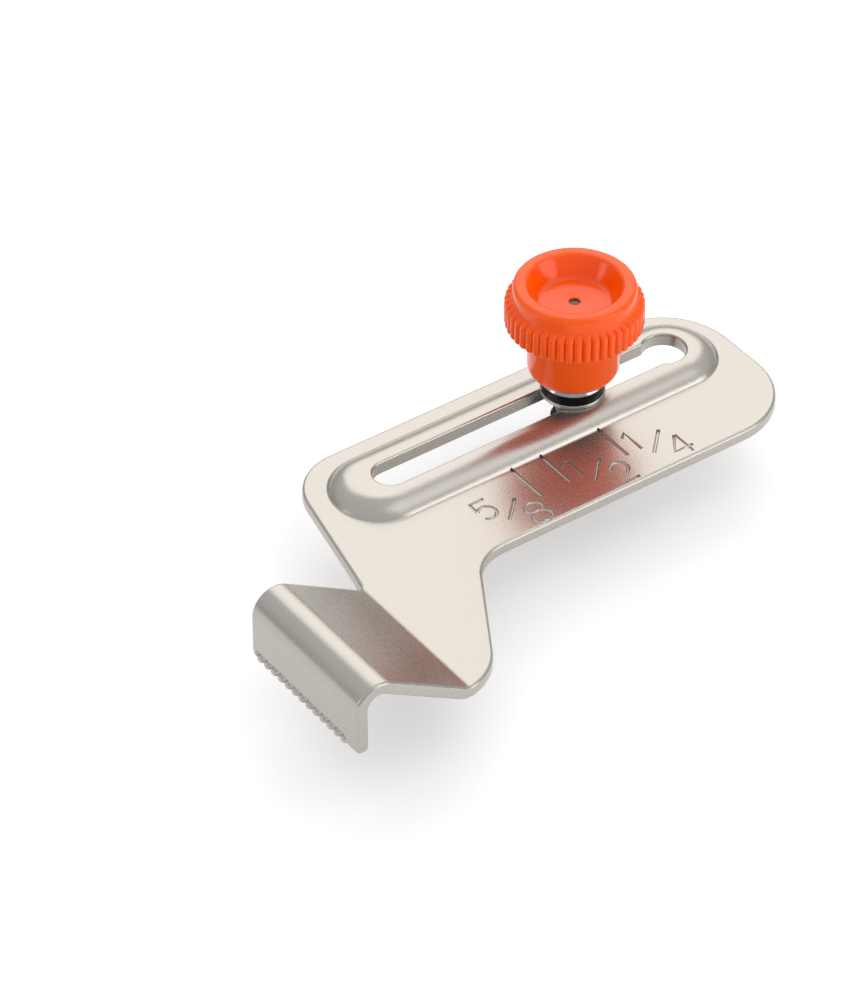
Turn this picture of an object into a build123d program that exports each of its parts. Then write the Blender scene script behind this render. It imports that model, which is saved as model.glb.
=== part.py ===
from build123d import *
from math import cos, radians, tan
import os

# Marking gauge: a pressed steel plate with a raised slotted boss at one end and a
# ramp that folds over into a toothed fence lip at the other. A captive thumbscrew
# runs along the slot and clamps the plate to the tool that carries it.
#
# Frame: origin on the screw's axis, in the plane of the plate's underside.
# +X runs along the slot, away from the fence lip; +Z is up; -Y is the scale side.
# Millimetres.

# Sheet
sheet = 1.24

# Plan of the plate
plate_right = 16.98
plate_far = 6.42
plate_near = -12.33
corner_radius = 7.0
far_left_radius = 5.5
neck_top_x = -19.17
neck_slope = 59.1
neck_root_radius = 4.5
neck_corner_radius = 6.0
notch_radius = 0.8
side_slope = 11.9

# Fence head: ramp and lip
head_near = -25.7
head_width = 15.5
bend_x = -29.88
ramp_angle = 31.3
ramp_bend_radius = 1.5
lip_face_x = -41.4
crest_radius = 2.32
lip_bottom = -0.5
lip_lead = 0.85
lip_edge_radius = 0.25
lip_far_corner = 1.2
lip_near_corner = 0.7

# Teeth along the lip's lower edge
tooth_count = 13
tooth_pitch = 1.02
tooth_radius = 0.55
tooth_foot = 0.32
tooth_proud = 0.12
tooth_first_offset = 1.13

# Raised boss along the slot
boss_height = 1.25
boss_foot = 4.66
boss_flat = 3.0
boss_left_x = -20.9
boss_right_x = 10.6
pocket_foot = 3.95
pocket_flat = 2.35
side_lean = (0.62, -1)

# Slot and keyhole end
slot_half_width = 1.62
slot_left_x = -19.8
keyhole_x = 10.24

# Scale marks beside the boss: distances from the screw's rest place to each mark
mark_places = [0.0, 6.35, 9.525]
mark_zero_x = -0.6
mark_width = 0.34
mark_depth = 0.14
mark_length = 4.4

# Thumbscrew
thread_radius = 1.95
thread_below = 6.5
thread_chamfer = 0.45
neck_clearance = 0.12
keyhole_clearance = 0.1
axial_play = 1.0

# Washer and collar on the neck
ring_radius = 2.93
ring_clearance = 0.1
washer_thickness = 0.39
collar_height = 1.75
collar_chamfer = 0.22

# Knob
hub_radius = 4.12
hub_foot_round = 1.2
hub_length = 5.46
band_radius = 6.2
band_length = 2.5
band_round = 0.3
shelf_rise = 0.31
rim_radius = 5.48
rim_height = 1.5
rim_round = 0.45
dish_opening = 4.27
dish_floor_radius = 3.3
dish_depth = 1.98
dish_floor_round = 0.5
centre_hole_radius = 0.5
flute_count = 48
flute_depth = 0.26
flute_width = 0.30

# Stud's anchor head, moulded into the knob
anchor_radius = 2.3
anchor_length = 4.2
anchor_wall = 1.3
stem_radius = 1.0
dish_web = 0.2

# Worked-out places
boss_top = sheet + boss_height
pocket_top = boss_height
neck_radius = slot_half_width - neck_clearance
keyhole_radius = thread_radius + keyhole_clearance
ring_bore = thread_radius + ring_clearance
thread_top = pocket_top - axial_play
washer_top = boss_top + washer_thickness
knob_base = washer_top + collar_height
band_base = knob_base + hub_length
band_top = band_base + band_length
rim_foot = band_top + shelf_rise
knob_top = rim_foot + rim_height
dish_floor = knob_top - dish_depth
anchor_base = knob_base + anchor_wall
anchor_top = anchor_base + anchor_length
stem_top = dish_floor - dish_web
head_far = head_near + head_width


def rounded_outline(corners):
    """A closed face from (x, y, corner radius), straight between its corners."""
    face = Sketch() + make_face(Polyline(*[(x, y) for x, y, _ in corners], close=True))
    for x, y, radius in corners:
        if radius:
            corner = face.vertices().sort_by_distance((x, y))[0]
            face = fillet(corner, radius)
    return face


def plate_plan():
    """The blank's outline seen from above, neck, notch and rounded corners included."""
    neck_run = (plate_near - head_near) / tan(radians(neck_slope))
    side_run = (plate_far - head_far) * tan(radians(side_slope))
    return rounded_outline([
        (plate_right, plate_far, corner_radius),
        (bend_x + side_run, plate_far, far_left_radius),
        (bend_x, head_far, notch_radius),
        (lip_face_x, head_far, 0),
        (lip_face_x, head_near, 0),
        (neck_top_x - neck_run, head_near, neck_corner_radius),
        (neck_top_x, plate_near, neck_root_radius),
        (plate_right, plate_near, corner_radius),
    ])


def ramp_height(x):
    """Top surface of the straight ramp at x."""
    return sheet + (bend_x - x) * tan(radians(ramp_angle))


def bent_sheet():
    """The sheet's side profile, flat, ramp and folded lip, as wide as the plate."""
    drop = sheet / cos(radians(ramp_angle))
    lip_inside_x = lip_face_x + sheet
    under_bend_x = bend_x - (drop - sheet) / tan(radians(ramp_angle))
    profile = rounded_outline([
        (plate_right, sheet, 0),
        (bend_x, sheet, ramp_bend_radius),
        (lip_face_x, ramp_height(lip_face_x), crest_radius),
        (lip_face_x, lip_bottom + lip_lead, lip_edge_radius),
        (lip_face_x + lip_lead, lip_bottom, lip_edge_radius),
        (lip_inside_x, lip_bottom, lip_edge_radius),
        (lip_inside_x, ramp_height(lip_inside_x) - drop, crest_radius - sheet),
        (under_bend_x, 0, ramp_bend_radius + sheet),
        (plate_right, 0, 0),
    ])
    standing = Plane.XZ.offset(-plate_far) * profile
    return extrude(standing, plate_far - head_near, dir=(0, -1, 0))


def pressed_form(foot, flat, base, top):
    """A long raised form along the slot: flat top, smooth sides, round ends."""
    half = make_face([
        Line((0, base), (0, top)),
        Line((0, top), (flat, top)),
        Spline((flat, top), (foot, base), tangents=[(1, 0), side_lean]),
        Line((foot, base), (0, base)),
    ])
    end = revolve(Plane.XZ * half, Axis.Z)
    run = extrude(Plane.YZ * half, boss_right_x - boss_left_x, dir=(1, 0, 0))
    run = Pos(boss_left_x, 0, 0) * run
    ends = [Pos(x, 0, 0) * end for x in (boss_left_x, boss_right_x)]
    return run + mirror(run, Plane.XZ) + ends


def slot_cut():
    """The slot through the boss, with its keyhole end for the screw's thread."""
    length = keyhole_x - slot_left_x
    middle = (keyhole_x + slot_left_x) / 2
    narrow = Pos(middle, 0) * SlotCenterToCenter(length, 2 * slot_half_width)
    outline = narrow + Pos(keyhole_x, 0) * Circle(keyhole_radius)
    return Pos(0, 0, -1) * extrude(outline, boss_top + 2)


def scale_marks():
    """Grooves beside the boss, one for each setting of the screw."""
    marks = []
    for place in mark_places:
        x = mark_zero_x - place
        y = -boss_foot - mark_length / 2
        groove = Box(mark_width, mark_length, 2 * mark_depth)
        marks.append(Pos(x, y, sheet) * groove)
    return marks


def lip_teeth():
    """Round-nosed teeth along the lip's lower edge, just proud of its outer face."""
    depth = tooth_proud + sheet / 2
    middle_x = lip_face_x - tooth_proud + depth / 2
    tooth = Cylinder(tooth_radius, depth, rotation=(0, 90, 0))
    first_y = head_far - tooth_first_offset
    return [
        Pos(middle_x, first_y - number * tooth_pitch, tooth_foot + tooth_radius) * tooth
        for number in range(tooth_count)
    ]


def lip_corner_cut(y, radius, inward):
    """What rounds one lower corner of the lip, seen square to its outer face."""
    block = Box(3 * sheet, 2 * radius, 2 * radius)
    round_bar = Cylinder(radius, 4 * sheet, rotation=(0, 90, 0))
    middle_x = lip_face_x + sheet / 2
    corner = Pos(middle_x, y, lip_bottom) * block
    return corner - Pos(middle_x, y + inward * radius, lip_bottom + radius) * round_bar


def gauge_plate():
    tall_plan = extrude(plate_plan(), ramp_height(lip_face_x) - lip_bottom)
    sheet_form = bent_sheet() & Pos(0, 0, lip_bottom) * tall_plan
    boss = pressed_form(boss_foot, boss_flat, sheet, boss_top)
    pocket = pressed_form(pocket_foot, pocket_flat, 0, pocket_top)
    plate = sheet_form + boss - pocket - slot_cut()
    corners = [
        lip_corner_cut(head_far, lip_far_corner, -1),
        lip_corner_cut(head_near, lip_near_corner, 1),
    ]
    return plate - corners + lip_teeth() - scale_marks()


def neck_ring(base, height, chamfer_size):
    """A flat ring on the screw's neck, with both outer edges eased."""
    ring = Cylinder(ring_radius, height, align=(Align.CENTER, Align.CENTER, Align.MIN))
    if chamfer_size:
        ring = chamfer(ring.edges().filter_by(GeomType.CIRCLE), chamfer_size)
    ring = ring - Cylinder(ring_bore, 3 * height)
    return Pos(0, 0, base) * ring


def clamp_stud():
    """The captive screw: thread, plain neck, anchor head and stem, turned as one."""
    profile = make_face(Polyline(
        (0, -thread_below),
        (thread_radius - thread_chamfer, -thread_below),
        (thread_radius, -thread_below + thread_chamfer),
        (thread_radius, thread_top),
        (neck_radius, thread_top),
        (neck_radius, anchor_base),
        (anchor_radius, anchor_base),
        (anchor_radius, anchor_top),
        (stem_radius, anchor_top),
        (stem_radius, stem_top),
        (0, stem_top),
        close=True,
    ))
    return revolve(Plane.XZ * profile, Axis.Z)


def knob_flutes():
    """Narrow V valleys between the finger lobes."""
    valley = Polyline(
        (band_radius - flute_depth, 0),
        (band_radius + 0.1, flute_width / 2),
        (band_radius + 0.1, -flute_width / 2),
        close=True,
    )
    cut = extrude(make_face(valley), band_length + shelf_rise)
    cut = Pos(0, 0, band_base) * cut
    return [Rot(0, 0, 360 * number / flute_count) * cut for number in range(flute_count)]


def clamp_knob():
    """The moulded knob: hub, fluted band, rim and dished top, around the stud's head."""
    body = rounded_outline([
        (0, knob_base, 0),
        (hub_radius, knob_base, hub_foot_round),
        (hub_radius, band_base, 0),
        (band_radius, band_base, band_round),
        (band_radius, band_top, band_round),
        (rim_radius, rim_foot, 0),
        (rim_radius, knob_top, rim_round),
        (dish_opening, knob_top, rim_round),
        (dish_floor_radius, dish_floor, dish_floor_round),
        (centre_hole_radius, dish_floor, 0),
        (centre_hole_radius, stem_top, 0),
        (0, stem_top, 0),
    ])
    knob = revolve(Plane.XZ * body, Axis.Z)
    return knob - knob_flutes() - clamp_stud()


def main():
    os.makedirs("parts", exist_ok=True)
    pieces = {
        "gauge_plate": gauge_plate(),
        "plain_washer": neck_ring(boss_top, washer_thickness, 0),
        "spacer_collar": neck_ring(washer_top, collar_height, collar_chamfer),
        "clamp_stud": clamp_stud(),
        "clamp_knob": clamp_knob(),
    }
    for name, shape in pieces.items():
        export_step(shape, f"parts/{name}.step")


main()
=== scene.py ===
"""Models the marking gauge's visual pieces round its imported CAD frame, in metres."""
from math import asin, ceil, cos, hypot, pi, radians, sin, sqrt, tan
from types import SimpleNamespace

import bmesh
import bpy
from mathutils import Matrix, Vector


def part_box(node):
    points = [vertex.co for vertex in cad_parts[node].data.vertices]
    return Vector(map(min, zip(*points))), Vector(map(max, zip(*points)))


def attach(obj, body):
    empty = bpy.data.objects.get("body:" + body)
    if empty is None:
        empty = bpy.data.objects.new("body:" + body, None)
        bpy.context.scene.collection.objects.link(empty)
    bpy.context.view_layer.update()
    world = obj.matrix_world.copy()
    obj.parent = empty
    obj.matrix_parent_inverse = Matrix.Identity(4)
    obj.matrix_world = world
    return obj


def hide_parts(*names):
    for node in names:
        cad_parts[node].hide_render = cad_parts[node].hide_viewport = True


bl_info = {
    "name": "Marking Gauge",
    "version": (1, 0, 0),
    "blender": (4, 5, 0),
    "location": "View3D > Sidebar > Marking Gauge",
    "description": "Models the marking gauge's visual pieces round its CAD frame",
    "category": "Object",
}

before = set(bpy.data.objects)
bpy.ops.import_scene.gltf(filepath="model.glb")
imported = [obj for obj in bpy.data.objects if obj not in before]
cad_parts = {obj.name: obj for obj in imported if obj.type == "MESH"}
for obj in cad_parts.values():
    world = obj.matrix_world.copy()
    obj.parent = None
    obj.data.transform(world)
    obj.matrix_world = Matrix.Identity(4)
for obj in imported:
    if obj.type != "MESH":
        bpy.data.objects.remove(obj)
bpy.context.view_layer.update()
MM = 0.001
SMOOTH_ANGLE = radians(32)

# Steps and tolerances of modelling, in millimetres or square millimetres
TINY = 1e-4
LEVEL_REACH = 2e-3
BROAD_FACE = 50
BEND_STEPS, CREST_STEPS = 6, 26
FLANK_STEPS, FOOT_STEPS, RIM_STEPS = 12, 4, 4
BOSS_END_STEPS, SLOT_END_STEPS, KEYHOLE_STEPS = 36, 24, 44
STUD_STEPS, RING_STEPS, STEPS_PER_LOBE = 64, 96, 10

# The scale's marks, in inches as they are stamped
INCH = 25.4
MARKS = (1 / 4, 1 / 2, 5 / 8)

# The boss's pressed side: its lean at the foot, its pull there and its foot's reach
FOOT_LEAN = (0.62, -1)
FOOT_PULL = 0.85
FOOT_REACH = 1.2

# Places worked out from the frame, in millimetres
plate_low, plate_high = (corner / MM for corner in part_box("gauge_plate"))
washer_low, washer_high = (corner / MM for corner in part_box("plain_washer"))
collar_low, collar_high = (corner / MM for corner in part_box("spacer_collar"))
stud_low, stud_high = (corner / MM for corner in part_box("clamp_stud"))
knob_low, knob_high = (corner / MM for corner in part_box("clamp_knob"))


# ---------------------------------------------------------------- sizes and colours


def length(name, description, millimetres):
    """A length property whose default is given in millimetres."""
    return bpy.props.FloatProperty(
        name=name, description=description, default=millimetres * MM,
        subtype="DISTANCE", unit="LENGTH", precision=5,
    )


def angle(name, description, degrees):
    """An angle property whose default is given in degrees."""
    return bpy.props.FloatProperty(
        name=name, description=description, default=radians(degrees),
        subtype="ANGLE", unit="ROTATION",
    )


def count(name, description, number):
    """A whole number property."""
    return bpy.props.IntProperty(name=name, description=description, default=number, min=1)


def share(name, description, value):
    """A property between 0 and 1."""
    return bpy.props.FloatProperty(
        name=name, description=description, default=value, min=0, max=1, subtype="FACTOR",
    )


def colour(name, description, value):
    """A colour property."""
    return bpy.props.FloatVectorProperty(
        name=name, description=description, default=(*value, 1), size=4,
        min=0, max=1, subtype="COLOR",
    )


class PlateSizes(bpy.types.PropertyGroup):
    """Sizes of the pressed plate."""

    sheet: length("Sheet", "Thickness of the sheet", 1.24)
    edge_round: length("Edge round", "Radius tumbled onto the sheet's edges", 0.33)
    right: length("Right end", "X of the plate's end beyond the keyhole", plate_high.x)
    far: length("Far edge", "Y of the plate's far edge", plate_high.y)
    near: length("Near edge", "Y of the plate's near edge", -12.33)
    corner: length("Corner radius", "Radius of the plate's two right corners", 7.0)
    far_left_corner: length("Far left radius", "Radius of the far left corner", 5.5)
    neck_top: length("Neck top", "X where the near edge turns into the neck", -19.17)
    neck_slope: angle("Neck slope", "Slope of the neck's edge from the X axis", 59.1)
    neck_root_radius: length("Neck root radius", "Radius where the neck leaves the plate", 4.5)
    neck_corner_radius: length("Neck corner radius", "Radius where the neck meets the head", 6.0)
    notch_radius: length("Notch radius", "Radius in the notch beside the head", 0.8)
    side_slope: angle("Side slope", "Lean of the edge above the notch", 11.9)
    head_near: length("Head near edge", "Y of the fence head's near edge", plate_low.y)
    head_width: length("Head width", "Width of the fence head along Y", 15.5)
    bend: length("Bend", "X where the plate bends up into the ramp", -29.88)
    ramp_angle: angle("Ramp angle", "Rise of the ramp above the plate", 31.3)
    ramp_bend_radius: length("Ramp bend radius", "Radius of the bend on its top face", 1.5)
    lip_face: length("Lip face", "X of the lip's outer face", -41.4)
    crest_radius: length("Crest radius", "Outer radius of the fold into the lip", 2.32)
    lip_bottom: length("Lip bottom", "Z of the lip's lower edge", plate_low.z)
    lip_lead: length("Lip lead", "Chamfer on the lip's lower outer edge", 0.65)
    lip_far_corner: length("Lip far corner", "Radius of the lip's far lower corner", 1.2)
    lip_near_corner: length("Lip near corner", "Radius of the lip's near lower corner", 0.7)


class ToothSizes(bpy.types.PropertyGroup):
    """Sizes of the teeth pressed out of the lip's face."""

    number: count("Teeth", "Number of teeth along the lip", 13)
    pitch: length("Pitch", "Distance from tooth to tooth", 1.02)
    first: length("First offset", "From the head's far edge to the first tooth", 1.13)
    half_width: length("Half width", "Half a tooth's width along the lip", 0.5)
    half_height: length("Half height", "Half a tooth's height up the lip", 0.5)
    middle: length("Middle", "Z of the teeth's middle", 0.1)
    proud: length("Proud", "How far a tooth stands out of the lip's face", 0.12)
    depth: length("Depth", "Half a tooth's depth, square to the face", 0.55)
    crease: length("Crease", "How far the hollow above a tooth sits above its middle", 0.42)
    hollow_depth: length("Hollow depth", "Depth of the hollow above a tooth", 0.22)
    notch_depth: length("Notch depth", "How far the notch between two teeth cuts in", 0.6)
    notch_width: length("Notch width", "Width of the notch between two teeth", 0.48)
    flute_radius: length("Flute radius", "Radius of the faint flutes above the teeth", 0.5)
    flute_depth: length("Flute depth", "Depth of the faint flutes above the teeth", 0.035)
    flute_top: length("Flute top", "Z of the flutes' upper ends", 2.0)
    flute_bend: length("Flute bend", "Z where the flutes turn inwards", 1.2)
    flute_fade: length("Flute fade", "How far out the flutes' upper ends lie", 0.1)
    flute_sink: length("Flute sink", "How far in the flutes' lower ends lie", 0.12)


class BossSizes(bpy.types.PropertyGroup):
    """Sizes of the raised boss, the pocket under it and the slot through it."""

    rise: length("Rise", "Height of the boss above the plate", 1.25)
    foot: length("Foot", "Half width of the boss at its foot", 4.66)
    flat: length("Flat", "Half width of the flat along its top", 2.36)
    left: length("Left centre", "X of the boss's left end centre", -20.9)
    right: length("Right centre", "X of the boss's right end centre", 10.6)
    foot_blend: length("Foot blend", "Size of the hollow curve round the foot", 0.13)
    pocket_foot: length("Pocket foot", "Half width of the pocket at the underside", 3.95)
    pocket_flat: length("Pocket flat", "Half width of the pocket's flat", 2.35)
    slot_half_width: length("Slot half width", "Half the slot's width", 1.62)
    slot_left: length("Slot left centre", "X of the slot's left end centre", -19.8)
    slot_round: length("Slot round", "Radius round the slot's upper rim", 0.24)
    keyhole: length("Keyhole", "X of the keyhole's centre", 10.24)
    keyhole_radius: length("Keyhole radius", "Radius of the keyhole", 2.05)


class ScaleSizes(bpy.types.PropertyGroup):
    """Sizes of the stamped marks and figures."""

    zero: length("Zero mark", "X of the mark for the screw's rest place", -0.6)
    inner: length("Inner end", "Y of the marks' inner ends, in the boss's foot", -4.25)
    outer: length("Outer end", "Y of the marks' outer ends", -9.0)
    mark_width: length("Mark width", "Width of a mark at the surface", 0.36)
    mark_depth: length("Mark depth", "Depth of a mark", 0.2)
    figure_width: length("Figure width", "Width of a figure's stroke at the surface", 0.36)
    figure_depth: length("Figure depth", "Depth of a figure's stroke", 0.17)


class KnobSizes(bpy.types.PropertyGroup):
    """Sizes of the moulded knob."""

    hub_radius: length("Hub radius", "Radius of the plain hub", 4.12)
    hub_foot_round: length("Hub foot round", "Radius round the hub's foot", 1.2)
    band_radius: length("Band radius", "Radius over the finger lobes", 6.2)
    band_base: length("Band base", "Z of the band's lower face", 10.09)
    band_top: length("Band top", "Z of the band's upper edge", 12.59)
    band_round: length("Band round", "Radius on the band's edges", 0.42)
    lobes: count("Lobes", "Number of finger lobes round the band", 48)
    lobe_depth: length("Lobe depth", "Depth of the valleys between the lobes", 0.3)
    rim_foot: length("Rim foot", "Z where the rim leaves the band's shelf", 12.90)
    rim_radius: length("Rim radius", "Outer radius of the rim", 5.48)
    rim_round: length("Rim round", "Radius on the rim's edges", 0.45)
    shelf_round: length("Shelf round", "Radius where the rim meets the shelf", 0.22)
    dish_opening: length("Dish opening", "Radius of the dish at its mouth", 4.27)
    dish_floor: length("Dish floor", "Z of the dish's floor", 12.42)
    dish_floor_radius: length("Floor radius", "Radius of the dish's floor", 3.3)
    dish_floor_round: length("Floor round", "Radius where the dish's side meets its floor", 0.5)
    hole_radius: length("Hole radius", "Radius of the hole over the stud's stem", 0.5)


class StudSizes(bpy.types.PropertyGroup):
    """Sizes of the threaded stud."""

    thread_radius: length("Thread radius", "Outer radius of the thread", 1.95)
    thread_root: length("Thread root", "Radius at the bottom of the thread", 1.53)
    thread_top: length("Thread top", "Z of the thread's upper end", 0.25)
    pitch: length("Pitch", "Pitch of the thread", 0.7)
    chamfer: length("Chamfer", "Chamfer on the thread's lower end", 0.45)
    neck_radius: length("Neck radius", "Radius of the plain neck", 1.5)
    anchor_radius: length("Anchor radius", "Radius of the head inside the knob", stud_high.x)
    anchor_base: length("Anchor base", "Z of the anchor head's lower face", 5.93)
    anchor_top: length("Anchor top", "Z of the anchor head's upper face", 10.13)
    stem_radius: length("Stem radius", "Radius of the stem above the anchor", 1.0)


class RingSizes(bpy.types.PropertyGroup):
    """Sizes of the collar and the washer."""

    radius: length("Radius", "Outer radius of both rings", collar_high.x)
    bore: length("Bore", "Radius of both bores", 2.05)
    collar_shoulder: length("Collar shoulder", "Z where the collar's bevel starts", 3.92)
    collar_top_radius: length("Collar top radius", "Radius of the collar's top face", 2.5)
    washer_round: length("Washer round", "Radius on the washer's edges", 0.1)
    seat_gap: length("Seat gap", "Clear height between the washer and the boss", 0.01)


class FinishColours(bpy.types.PropertyGroup):
    """Colours and gloss of the finishes, and the collar's painted dark and bright reflections."""

    plate: colour("Plate", "Satin nickel plate", (0.455, 0.425, 0.385))
    plate_gloss: share("Plate roughness", "Roughness of the satin plate", 0.27)
    washer: colour("Washer", "Bright steel", (0.50, 0.49, 0.48))
    # Painted reflections: the collar's side is painted near black for the dark it reflects, and
    # its bevel is painted bright for the light it reflects.
    collar_side: colour("Collar side", "Steel round the collar, painted near black as a dark reflection", (0.022, 0.022, 0.024))
    collar_top: colour("Collar top", "Steel on the collar's bevel, painted bright as a light reflection", (0.42, 0.41, 0.40))
    stud: colour("Stud", "Dark oiled steel", (0.11, 0.085, 0.075))
    knob: colour("Knob", "Orange plastic", (1.0, 0.1, 0.0))
    floor: colour("Floor", "Pale floor", (0.86, 0.86, 0.86))


class StageSettings(bpy.types.PropertyGroup):
    """Camera and studio light."""

    camera_lens: bpy.props.FloatProperty(
        name="Lens", description="Focal length of the camera", default=180,
        subtype="DISTANCE_CAMERA", unit="CAMERA",
    )
    camera_turn: angle("Turn", "Camera's turn round the part from the near side", -35.6014)
    camera_rise: angle("Rise", "Camera's height above the horizon", 39.8621)
    camera_place: bpy.props.FloatVectorProperty(
        name="Place", description="Where the camera stands",
        default=(-0.213157, -0.274741, 0.279863), subtype="TRANSLATION", unit="LENGTH",
        precision=6,
    )
    sensor: bpy.props.FloatProperty(
        name="Sensor", description="Width of the camera's sensor", default=36,
        subtype="DISTANCE_CAMERA", unit="CAMERA",
    )
    sky: bpy.props.FloatProperty(
        name="Sky", description="Brightness of the surroundings", default=0.8, min=0,
    )
    sky_height: share("Sky height", "Height at which the sky is fully bright", 0.55)
    floor_size: length("Floor size", "Width of the floor", 6000)
    floor_gap: length("Floor gap", "Clear height between the floor and the stud", 0.05)
    floor_glow: share("Floor glow", "Light that the floor gives off by itself", 0.3)


def in_millimetres(group):
    """The group's values by name, its lengths in millimetres for modelling."""
    values = {}
    for prop in group.bl_rna.properties:
        if prop.identifier in ("rna_type", "name"):
            continue
        value = getattr(group, prop.identifier)
        is_length = prop.type == "FLOAT" and prop.unit == "LENGTH"
        values[prop.identifier] = value / MM if is_length else value
    return SimpleNamespace(**values)


# ---------------------------------------------------------------- modelling helpers


def select_only(piece):
    """Makes one object the only selected and active one."""
    bpy.ops.object.select_all(action="DESELECT")
    piece.select_set(True)
    bpy.context.view_layer.objects.active = piece


def ring_of_edges(name, points, closed=True):
    """A new object of edges through the points, open-ended if it isn't closed."""
    bpy.ops.object.select_all(action="DESELECT")
    bpy.ops.mesh.primitive_circle_add(vertices=len(points), radius=1, location=(0, 0, 0))
    piece = bpy.context.object
    piece.name = piece.data.name = name
    for vertex, point in zip(piece.data.vertices, points):
        vertex.co = point
    if not closed:
        last = {0, len(points) - 1}
        bpy.ops.object.mode_set(mode="EDIT")
        select_parts(piece, "EDGE", lambda edge: {v.index for v in edge.verts} == last)
        bpy.ops.mesh.delete(type="EDGE")
        bpy.ops.object.mode_set(mode="OBJECT")
    return piece


def select_parts(piece, kind, wanted):
    """In edit mode, selects just the vertices, edges or faces that are wanted."""
    bpy.ops.mesh.select_mode(type=kind)
    bpy.ops.mesh.select_all(action="DESELECT")
    mesh = bmesh.from_edit_mesh(piece.data)
    parts = {"VERT": mesh.verts, "EDGE": mesh.edges, "FACE": mesh.faces}[kind]
    for part in parts:
        if wanted(part):
            part.select_set(True)
    bmesh.update_edit_mesh(piece.data)


def merge_and_orient():
    """In edit mode, merges points that meet and turns every face outwards."""
    bpy.ops.mesh.select_all(action="SELECT")
    bpy.ops.mesh.remove_doubles(threshold=TINY)
    bpy.ops.mesh.normals_make_consistent(inside=False)


def rounded_polygon(corners, step=radians(7)):
    """Points round a closed outline given as (x, y, corner radius)."""
    points = []
    for number, (x, y, radius) in enumerate(corners):
        corner = Vector((x, y))
        if radius < TINY:
            points.append(corner)
            continue
        before = (Vector(corners[number - 1][:2]) - corner).normalized()
        after = (Vector(corners[(number + 1) % len(corners)][:2]) - corner).normalized()
        half = before.angle(after) / 2
        centre = corner + (before + after).normalized() * radius / sin(half)
        arm = corner + before * radius / tan(half) - centre
        end = corner + after * radius / tan(half) - centre
        turn = (pi - 2 * half) * (1 if arm.cross(end) > 0 else -1)
        steps = max(2, ceil(abs(turn) / step))
        for index in range(steps + 1):
            a = turn * index / steps
            points.append(centre + Vector((
                arm.x * cos(a) - arm.y * sin(a), arm.x * sin(a) + arm.y * cos(a),
            )))
    return points


def arc(centre_x, radius, start, end, steps):
    """Points of an arc round (centre_x, 0), angles in radians."""
    turns = [start + (end - start) * index / steps for index in range(steps + 1)]
    return [(centre_x + radius * cos(a), radius * sin(a)) for a in turns]


def spin_solid(name, profile, steps, closed=True):
    """A solid of revolution from (radius, z) points, round the Z axis."""
    piece = ring_of_edges(name, [(r, 0, z) for r, z in profile], closed)
    bpy.ops.object.mode_set(mode="EDIT")
    bpy.ops.mesh.select_all(action="SELECT")
    bpy.ops.mesh.spin(steps=steps, angle=2 * pi, center=(0, 0, 0), axis=(0, 0, 1))
    merge_and_orient()
    bpy.ops.object.mode_set(mode="OBJECT")
    return piece


def join_pieces(pieces):
    """Joins pieces into the first of them."""
    bpy.ops.object.select_all(action="DESELECT")
    for piece in pieces:
        piece.select_set(True)
    bpy.context.view_layer.objects.active = pieces[0]
    bpy.ops.object.join()
    return pieces[0]


def combine(piece, tools, operation, crossing=False):
    """Joins, cuts or intersects a piece with tools, which are used up.

    The tools stay clear of each other unless they are said to be crossing.
    """
    tool = join_pieces(tools)
    select_only(piece)
    modifier = piece.modifiers.new(operation.title(), "BOOLEAN")
    modifier.operation = operation
    modifier.solver = "EXACT"
    modifier.use_self = crossing
    modifier.object = tool
    bpy.ops.object.modifier_apply(modifier=modifier.name)
    bpy.data.objects.remove(tool)
    if not piece.data.polygons:
        raise RuntimeError(f"{piece.name} was lost in a {operation.lower()}")


def round_bar(points, radius):
    """A round bar along the points, closed at both ends or joined into a loop."""
    bpy.ops.object.select_all(action="DESELECT")
    bpy.ops.curve.primitive_nurbs_path_add(location=(0, 0, 0))
    bar = bpy.context.object
    bar.data.splines.clear()
    line = bar.data.splines.new("POLY")
    line.use_cyclic_u = (Vector(points[0]) - Vector(points[-1])).length < TINY
    points = points[:-1] if line.use_cyclic_u else points
    line.points.add(len(points) - 1)
    for knot, point in zip(line.points, points):
        knot.co = (*point, 1)
    bar.data.bevel_depth = radius
    bar.data.bevel_resolution = 4
    bar.data.use_fill_caps = True
    bpy.ops.object.convert(target="MESH")
    bar = bpy.context.object
    bpy.ops.object.mode_set(mode="EDIT")
    merge_and_orient()
    bpy.ops.object.mode_set(mode="OBJECT")
    return bar


def finish_piece(piece, node, body, material):
    """Brings a piece to real size, smooths it and puts it in its CAD node's place."""
    select_only(piece)
    piece.scale = (MM, MM, MM)
    bpy.ops.object.transform_apply(location=True, rotation=True, scale=True)
    mesh = bmesh.new()
    mesh.from_mesh(piece.data)
    loose = [edge for edge in mesh.edges if not edge.is_manifold]
    mesh.free()
    if loose:
        raise RuntimeError(f"{piece.name} has {len(loose)} open edges")
    bpy.ops.object.shade_smooth_by_angle(angle=SMOOTH_ANGLE)
    weighted = piece.modifiers.new("Weighted normals", "WEIGHTED_NORMAL")
    weighted.keep_sharp = True
    bpy.ops.object.modifier_apply(modifier=weighted.name)
    piece.data.materials.clear()
    piece.data.materials.append(material)
    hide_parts(node)
    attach(piece, body)


# ---------------------------------------------------------------- the plate


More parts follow.
